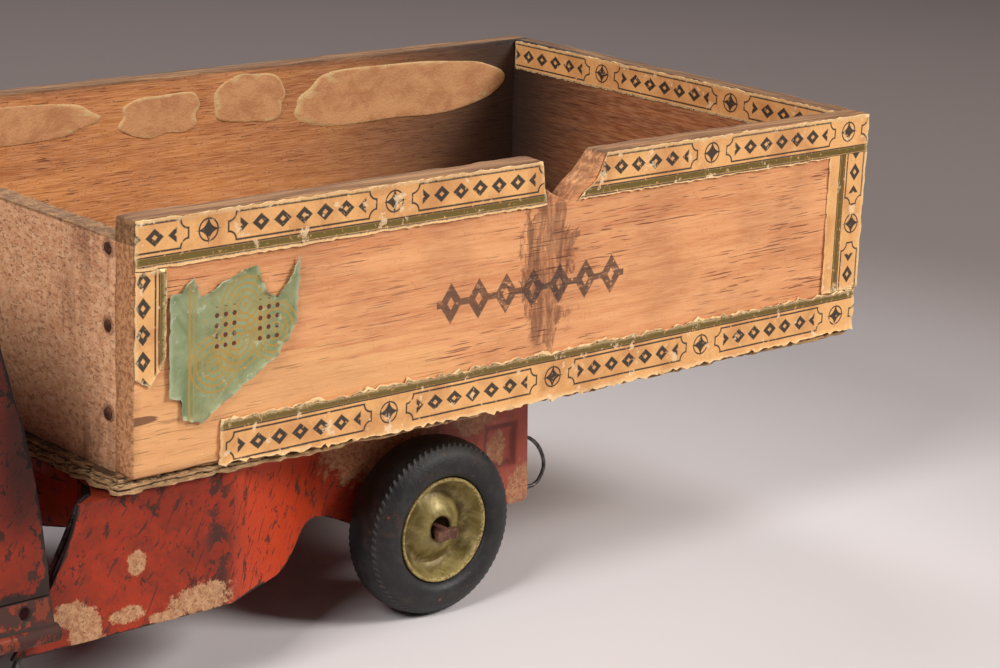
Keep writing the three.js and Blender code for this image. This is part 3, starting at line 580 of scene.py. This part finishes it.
def sliceUp(bm, axis, pace, low=None, high=None):
    values = [v.co[axis] for v in bm.verts]
    low = min(values) if low is None else low
    high = max(values) if high is None else high
    count = max(1, round((high - low) / pace))
    normal = Vector([1 if i == axis else 0 for i in range(3)])
    for i in range(1, count):
        bmesh.ops.bisect_plane(bm, geom=bm.verts[:] + bm.edges[:] + bm.faces[:], dist=1e-4,
                               plane_co=normal * (low + (high - low) * i / count), plane_no=normal)


def rimOf(bm):
    layer = bm.faces.layers.int["rim"]
    return {v for f in bm.faces if f[layer] for v in f.verts}


def fray(bm, verts, amount, scale, shift=0.0):
    away = Vector((shift, shift * 1.7, -shift))
    for v in verts:
        coarse = noise.noise_vector(v.co * scale * 0.4 + away)
        fine = noise.noise_vector(v.co * scale * 1.7 + away)
        v.co += Vector([a * (0.8 * c + 0.45 * f) for a, c, f in zip(amount, coarse, fine)])


def markWear(bm, verts, value=1.0):
    layer = bm.verts.layers.float["wear"]
    for v in verts:
        v[layer] = value


def finishPiece(name, bm, look, body, replaced=(), angle=38):
    bmesh.ops.scale(bm, vec=(mm, mm, mm), verts=bm.verts)
    bm.normal_update()
    mesh = bpy.data.meshes.new(name)
    bm.to_mesh(mesh)
    bm.free()
    mesh.shade_smooth()
    mesh.set_sharp_from_angle(angle=math.radians(angle))
    mesh.materials.append(look)
    piece = bpy.data.objects.new(name, mesh)
    scene.collection.objects.link(piece)
    if replaced:
        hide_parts(*replaced)
    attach(piece, body)
    return piece


# ---- load bed ----

leftBoard = measure("bed_side_left")
board = {"front": leftBoard["high"].x, "rear": leftBoard["low"].x, "outer": leftBoard["high"].y,
         "inner": leftBoard["low"].y, "bottom": leftBoard["low"].z, "top": leftBoard["high"].z}
boardWear = {"edge": 0.5, "pace": 2.5, "fray": (0.35, 0.3, 0.35), "grain": 0.35}


def wornCorner(bm):
    # the lower rear corner of the left board is worn round, and the notch is broken, not cut
    def atCorner(e):
        a, b = (v.co for v in e.verts)
        return max(a.x, b.x) < board["rear"] + 0.1 and max(a.z, b.z) < board["bottom"] + 0.1

    softenEdges(bm, 5.0, 4, 30, atCorner)
    for face in bm.faces:
        middle = face.calc_center_median()
        inside = board["rear"] + 20 < middle.x < board["front"] - 20
        if inside and abs(face.normal.y) < 0.5 and face.normal.x ** 2 > 0.02:
            face[bm.faces.layers.int["rim"]] = 1


torn = {"gaps": (0.9, 2.0), "open": 0.16, "deep": 1.8, "upper": 0.9}


def roughBoard(node, look, wear=boardWear, before=None, after=None):
    bm = copyOf(node)
    if before:
        before(bm)
    softenEdges(bm, wear["edge"])
    for axis in (0, 1, 2):
        sliceUp(bm, axis, wear["pace"])
    if after:
        after(bm)
    rim = rimOf(bm)
    markWear(bm, rim)
    fray(bm, rim, wear["fray"], wear["grain"])
    return finishPiece(node + "_wood", bm, look, "load_bed", (node,))


def splitLayers(bm):
    # the torn board has come apart into three layers with dark gaps between them
    layer = bm.faces.layers.int["rim"]
    low, high = (Vector([pick(v.co[i] for v in bm.verts) for i in range(3)]) for pick in (min, max))
    for height in torn["gaps"]:
        for step in (-torn["open"], 0, torn["open"]):
            bmesh.ops.bisect_plane(bm, geom=bm.verts[:] + bm.edges[:] + bm.faces[:], dist=1e-5,
                                   plane_co=(0, 0, high.z - height + step), plane_no=(0, 0, 1))
    for f in bm.faces:
        if abs(f.normal.z) < 0.5:
            f[layer] = 1
    for v in bm.verts:
        deep = min(abs(high.z - height - v.co.z) for height in torn["gaps"]) < 0.02
        back = torn["deep"] if deep else torn["upper"] if high.z - v.co.z < torn["gaps"][0] else 0
        for axis in (0, 1):
            if min(v.co[axis] - low[axis], high[axis] - v.co[axis]) < 0.6:
                v.co[axis] += back if v.co[axis] < (low[axis] + high[axis]) / 2 else -back


def makeBed():
    side = boxWood("cedar_printed", "x", tint(236, 168, 112), tint(206, 130, 80), marked=True)
    far = boxWood("cedar_far", "x", tint(198, 132, 70), tint(158, 94, 46), rough=0.2, shade=(-60, board["rear"] + 4))
    rear = boxWood("cedar_rear", "y", tint(156, 92, 50), tint(108, 56, 29), rough=0.1, shade=(0, 2 - board["inner"]))
    roughBoard("bed_side_left", side, boardWear, wornCorner)
    roughBoard("bed_side_right", far)
    roughBoard("bed_end_rear", rear)
    roughBoard("bed_end_front", endWood("sawn_end"))
    roughBoard("bed_floor_board", pulpBoard("torn_board"),
               {"edge": 0.2, "pace": 1.3, "fray": (1.5, 1.4, 0.25), "grain": 0.8}, after=splitLayers)
    print("bed boards made")


def layPrint(bm, direction):
    # print runs along the strip, and across it from the strip's outer edge
    layer = bm.loops.layers.uv.new("print")
    for face in bm.faces:
        middle = face.calc_center_median()
        for loop in face.loops:
            loop[layer].uv = [value / 100 for value in direction(loop.vert.co, middle)]


def printPlace(co, middle):
    if abs(middle.x - board["rear"]) < 14.4 and middle.z > board["bottom"] + 9.4 and middle.z < board["top"] - 10.6:
        return co.z - 84 + 25.4, co.x - board["rear"]
    if middle.x > board["front"] - 8.6 and middle.z < board["top"] - 11:
        return co.z - 94, board["front"] - co.x + 1.8
    if middle.z > board["bottom"] + 30:
        return co.x + 11.6, board["top"] - co.z
    return co.x + 11.6, co.z - board["bottom"] + 1.2


def paperStrip(node, look, direction=printPlace, amount=(0.45, 0.08, 0.45), lift=0.35, pace=1.1):
    bm = copyOf(node)
    for axis in (0, 1, 2):
        sliceUp(bm, axis, pace)
    layPrint(bm, direction)
    bm.normal_update()
    facing = 0 if node == "edging_inside_rear" else 1
    rim = {v for f in bm.faces if abs(f.normal[facing]) < 0.5 for v in f.verts}
    markWear(bm, rim)
    fray(bm, rim, amount, 1.5)
    for v in bm.verts:
        ripple = noise.noise(v.co * 0.22) * 0.5 + 0.5
        if facing == 1:
            v.co.y += lift * ripple * (1.6 if v in rim else 0.6)
    return finishPiece(node + "_paper", bm, look, "load_bed", (node,), 60)


def makePaper():
    paper = printedPaper("edging_print")
    for node in ("edging_top_front", "edging_rear", "edging_front_upright"):
        paperStrip(node, paper)
    paperStrip("edging_bottom", paper, amount=(0.8, 0.3, 1.3), lift=0.5, pace=1.2)
    paperStrip("edging_inside_rear", paper, lambda co, middle: (co.y, board["top"] - co.z))
    paperStrip("torn_label", labelPaper("green_label"), amount=(0.7, 0.2, 0.7), lift=0.7, pace=1.2)
    print("paper pasted on")


scraps = {"right": (((-7, 104.5), (38, 5.0)), ((-65.5, 103.0), (12, 5.6)), ((-95, 104.6), (12, 6.6)),
                    ((-148, 102.0), (36, 7.6))), "thick": 0.4, "corners": 72}


def makeScraps():
    # leftovers of glued paper along the top of the right board's inner face
    bm = emptyMesh()
    wall = measure("bed_side_right")["high"].y
    for middle, half in scraps["right"]:
        made = bmesh.ops.create_uvsphere(bm, u_segments=scraps["corners"], v_segments=16, radius=1)["verts"]
        for v in made:
            reach = v.co.xy.length
            square = ((abs(v.co.x) ** 4 + abs(v.co.y) ** 4) ** 0.25) or 1
            wobble = reach / square * (1 + 0.2 * noise.noise(Vector((v.co.x * 1.6 + middle[0], v.co.y * 1.6, middle[1]))))
            high = scraps["thick"] * math.copysign(abs(v.co.z) ** 0.22, v.co.z)
            crease = 0.25 * noise.noise(Vector((v.co.x * half[0] * 0.3, v.co.y * half[1] * 0.3, middle[0])))
            v.co = Vector((middle[0] + v.co.x * half[0] * wobble, wall + high + crease * max(0, high),
                           middle[1] + v.co.y * half[1] * wobble))
        markWear(bm, {v for v in made if v.co.y < wall + 0.3})
    bmesh.ops.recalc_face_normals(bm, faces=bm.faces)
    finishPiece("glued_paper_scraps", bm, scrapPaper("scrap_paper"), "load_bed", (), 60)
    print("paper scraps made")


def makeNails():
    rusty = bareSteel("rusty_nail", tint(104, 66, 48), tint(58, 30, 20), 0.4, 0.6)
    for end, outwards in (("front", 1), ("rear", -1)):
        for side in ("left", "right"):
            for number in (1, 2, 3):
                node = f"nail_{end}_{side}_{number}"
                size = measure(node)
                tip = size["high"].x if outwards > 0 else size["low"].x
                bm = emptyMesh()
                bmesh.ops.create_cone(bm, cap_ends=True, segments=18, radius1=0.5, radius2=0.5, depth=4.4,
                                      matrix=Matrix.Translation((0, 0, -2.6)))
                bmesh.ops.create_uvsphere(bm, u_segments=18, v_segments=8, radius=1.35,
                                          matrix=Matrix.Scale(0.35, 4, (0, 0, 1)))
                fray(bm, bm.verts, (0.14, 0.14, 0.1), 1.3, number + outwards)
                turn = Matrix.Rotation(math.radians(90 * outwards), 4, "Y")
                bmesh.ops.transform(bm, verts=bm.verts, matrix=turn)
                bmesh.ops.translate(bm, verts=bm.verts, vec=(tip - outwards * 0.42, size["mid"].y, size["mid"].z))
                finishPiece(node + "_rusty", bm, rusty, "load_bed", (node,))
    print("nails driven")


# ---- wheels ----

tyre = {"centre": 16.0, "rise": 6.2, "fall": 3.7, "half": 7.0, "steps": 144, "section": 26, "bead": 4.4}
treadRow = {"low": 3.6, "high": 5.2, "inset": 0.16, "proud": 0.14, "lean": 0.04}
discSection = ((3.0, 3.6), (2.95, 4.3), (3.5, 4.6), (5.2, 4.1), (6.8, 2.7), (8.2, 1.2), (9.4, 0.9), (10.9, 2.3),
               (11.8, 4.9), (12.4, 5.9), (13.0, 5.9), (13.3, 5.4), (12.7, 4.9), (11.9, 3.9), (11.7, 0.5),
               (11.2, 0.4), (10.9, 1.3), (9.6, 0.3), (8.0, 0.5), (6.4, 2.0), (4.8, 3.4))


def spinSection(points, steps):
    bm = emptyMesh()
    ring = [bm.verts.new((r, a, 0)) for r, a in points]
    edges = [bm.edges.new((ring[i - 1], ring[i])) for i in range(len(ring))]
    bmesh.ops.spin(bm, geom=ring + edges, cent=(0, 0, 0), axis=(0, 1, 0), dvec=(0, 0, 0), angle=2 * math.pi,
                   steps=steps, use_merge=True, use_duplicate=False)
    bmesh.ops.remove_doubles(bm, verts=bm.verts, dist=1e-4)
    bmesh.ops.recalc_face_normals(bm, faces=bm.faces)
    return bm


def tyreMesh():
    points = []
    sweep = 2.55
    for i in range(tyre["section"] + 1):
        turn = -sweep + 2 * sweep * i / tyre["section"]
        c, s = math.cos(turn), math.sin(turn)
        reach = tyre["rise"] if c > 0 else tyre["fall"]
        points.append((tyre["centre"] + reach * math.copysign(abs(c) ** 0.82, c),
                       tyre["half"] * math.copysign(abs(s) ** 0.9, s)))
    points += [(12.1, 3.4), (12.1, -3.4)]
    bm = spinSection(points, tyre["steps"])
    dashes = []
    for face in bm.faces:
        middle = face.calc_center_median()
        place = round(math.atan2(middle.z, middle.x) / (2 * math.pi) * tyre["steps"] - 0.5)
        if place % 2 == 0 and treadRow["low"] < abs(middle.y) < treadRow["high"] and middle.xz.length > 19:
            dashes.append(face)
    bmesh.ops.inset_individual(bm, faces=dashes, thickness=treadRow["inset"], depth=treadRow["proud"])
    # the dashes carry the wear mark, which the rubber paints lighter grey as a painted highlight
    markWear(bm, {v for f in dashes for v in f.verts})
    for v in bm.verts:
        if v.co.xz.length > 19:
            lean = treadRow["lean"] * (abs(v.co.y) - treadRow["low"])
            v.co = Matrix.Rotation(lean, 3, "Y") @ v.co
    return bm


def discMesh():
    bm = spinSection(discSection, 56)
    markWear(bm, {v for v in bm.verts if v.co.xz.length > 12.3 or v.co.xz.length < 2.8})
    return bm


def makeWheels():
    rubber, lacquer = wornRubber("worn_rubber"), hubLacquer("hub_lacquer")
    for end in ("rear", "front"):
        for side in ("left", "right"):
            centre = measure(f"tyre_{end}_{side}")["mid"]
            body = f"wheel_{end}_{side}"
            outwards = 1 if side == "left" else -1
            bm = tyreMesh()
            bmesh.ops.translate(bm, verts=bm.verts, vec=centre)
            finishPiece(f"tyre_{end}_{side}_rubber", bm, rubber, body, (f"tyre_{end}_{side}",), 50)
            for part, facing in (("disc", outwards), ("back", -outwards)):
                bm = discMesh()
                if facing < 0:
                    bmesh.ops.rotate(bm, verts=bm.verts, cent=(0, 0, 0), matrix=Matrix.Rotation(math.pi, 3, "Z"))
                bmesh.ops.translate(bm, verts=bm.verts, vec=centre)
                node = f"wheel_{part}_{end}_{side}"
                piece = finishPiece(node + "_pressed", bm, lacquer, body, (node,), 50)
                smooth = piece.modifiers.new("round", "SUBSURF")
                smooth.levels = smooth.render_levels = 1
    print("wheels made")


# ---- frame, cab and everything else of pressed steel ----

def softBend(bm):
    # the outer corners of the bends are wider than a cut edge
    def onTop(e):
        a, b = (v.co for v in e.verts)
        high = min(a.z, b.z) > 52.7
        return high and min(abs(a.y), abs(b.y)) > 43 and abs(a.y) > 44 - 0.2

    def onSide(e):
        a, b = (v.co for v in e.verts)
        return abs(a.x - b.x) < 0.3 and abs(a.z - b.z) > 10 and abs(a.y) > 44.2 and abs(a.x - 4.8) < 2

    softenEdges(bm, 1.5, 4, 20, onTop, 0)
    softenEdges(bm, 2.2, 4, 10, onSide, 0)


def embossRail(bm):
    for v in bm.verts:
        if abs(v.co.y) < 43:
            continue
        a = abs(v.co.x - rail["dent"][0]) / rail["half"][0]
        b = abs(v.co.z - rail["dent"][1]) / rail["half"][1]
        reach = (a ** 4 + b ** 4) ** 0.25
        share = min(1, max(0, (1.2 - reach) / 0.35))
        v.co.y -= math.copysign(rail["depth"] * share * share * (3 - 2 * share), v.co.y)


def pressedSteel(node, look, body, edge=0.3, pace=4.0, least=30, tail="_steel", before=None, after=None):
    bm = copyOf(node)
    if before:
        before(bm)
    softenEdges(bm, edge, 2, least)
    if pace:
        for axis in (0, 1, 2):
            sliceUp(bm, axis, pace)
    markWear(bm, rimOf(bm))
    if after:
        after(bm)
    return finishPiece(node + tail, bm, look, body, (node,))


def makeFrame():
    red = chippedRed("red_frame_paint", marks=True)
    pressedSteel("frame_pressing", red, "truck_frame", 0.25, 1.6, 30, "_painted", softBend, embossRail)
    print("frame pressed")


def makeBodywork():
    red = chippedRed("red_body_paint", dusk=0.86)
    trim = bareSteel("plated_trim", tint(150, 146, 140), tint(92, 78, 66), 0.9, 0.3)
    stepRed = chippedRed("worn_step_paint", worn=0.5)
    for node in ("cab_shell", "hood_shell", "front_fender_left", "front_fender_right", "front_chassis"):
        pressedSteel(node, red, "truck_frame", 0.35, 4.0)
    for side in ("left", "right"):
        pressedSteel(f"running_board_{side}", stepRed, "truck_frame", 0.3, 3.0)
    for node in ("grille", "headlamp_left", "headlamp_right", "bumper"):
        pressedSteel(node, trim, "truck_frame", 0.3, 0)
    print("bodywork made")


def makeFittings():
    dark = bareSteel("dark_steel", tint(84, 78, 72), tint(58, 40, 30), 0.8, 0.45)
    brown = bareSteel("axle_steel", tint(120, 84, 68), tint(84, 48, 36), 0.5, 0.5)
    red = chippedRed("red_bracket_paint")
    for side in ("left", "right"):
        pressedSteel(f"hinge_bracket_{side}", red, "truck_frame", 0.25, 0)
        pressedSteel(f"shaft_bracket_{side}", red, "truck_frame", 0.25, 0)
        pressedSteel(f"bed_strap_{side}", dark, "load_bed", 0.25, 0)
    for node in ("rear_axle", "front_axle"):
        pressedSteel(node, brown, "truck_frame", 0.6, 0)
    pressedSteel("hinge_rod", dark, "truck_frame", 0.3, 0)
    pressedSteel("lever_shaft", dark, "lever_assembly", 0.3, 0)
    pressedSteel("lift_arm", dark, "lever_assembly", 0.4, 0)
    wire = bareSteel("grey_wire", tint(104, 104, 106), tint(62, 56, 52), 0.9, 0.35)
    pressedSteel("tow_loop", wire, "truck_frame", 0.12, 0, 50)
    pressedSteel("dump_lever", wire, "lever_assembly", 0.15, 0, 50)
    print("fittings made")


addCamera()
addStudio()
floor = bmesh.new()
bmesh.ops.create_grid(floor, x_segments=8, y_segments=8, size=studio["floor"])
floorMesh = bpy.data.meshes.new("studio_floor")
floor.to_mesh(floorMesh)
floor.free()
floorMesh.materials.append(floorFinish())
floorPiece = bpy.data.objects.new("studio_floor", floorMesh)
scene.collection.objects.link(floorPiece)
print("studio set up")

makeBed()
makePaper()
makeScraps()
makeNails()
makeWheels()
makeFrame()
makeBodywork()
makeFittings()
